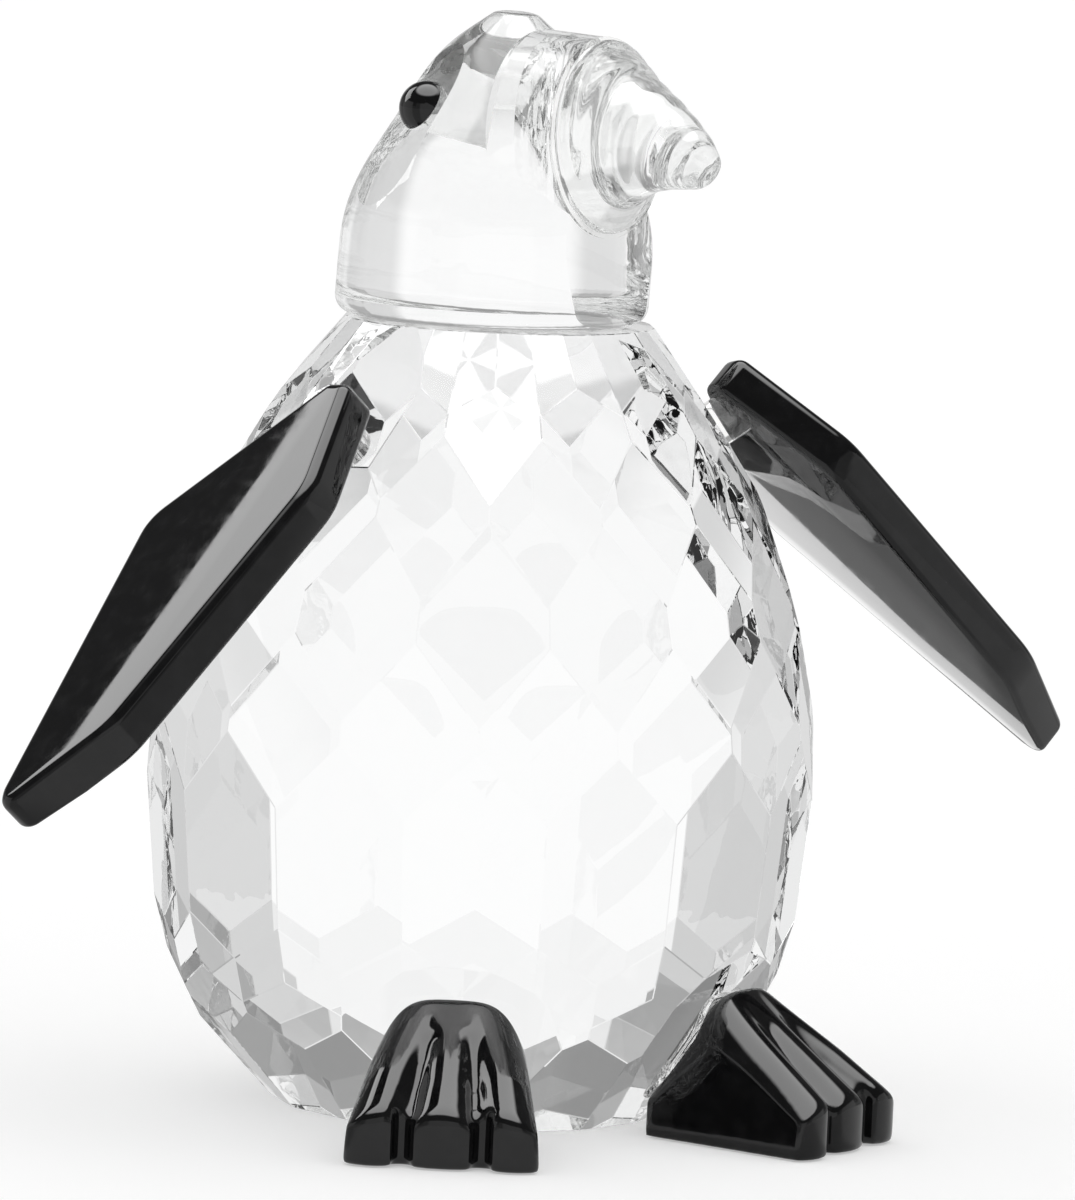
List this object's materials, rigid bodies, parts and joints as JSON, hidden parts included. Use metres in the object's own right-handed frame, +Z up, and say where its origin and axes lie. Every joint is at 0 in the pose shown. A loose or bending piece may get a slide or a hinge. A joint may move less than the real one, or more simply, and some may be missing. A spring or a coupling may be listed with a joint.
{
  "type": "penguin figurine",
  "caption": "Small cut-glass penguin figurine with a clear faceted body, a clear head and beak, and black flippers, feet and eyes.",
  "frame": {"origin": "centre of the body's flat base, on the body's axis, at the level that the figurine rests on", "axes": "+Z up along the body's axis; the penguin's front faces -Y; +X is the penguin's own left"},
  "size_m": [0.0601, 0.0382, 0.055],
  "materials": {
    "clear_crystal": "polished",
    "black_glass": "polished",
    "clear_adhesive": "satin"
  },
  "bodies": {
    "root": {"body": "clear_crystal", "head": "clear_crystal", "beak": "clear_crystal", "eye_left": "black_glass", "eye_right": "black_glass", "wing_left": "black_glass", "wing_right": "black_glass", "foot_left": "black_glass", "foot_right": "black_glass", "head_bond": "clear_adhesive", "beak_bond": "clear_adhesive", "eye_bond_left": "clear_adhesive", "eye_bond_right": "clear_adhesive", "wing_bond_left": "clear_adhesive", "wing_bond_right": "clear_adhesive", "foot_bond_left": "clear_adhesive", "foot_bond_right": "clear_adhesive"}
  },
  "joints": []
}
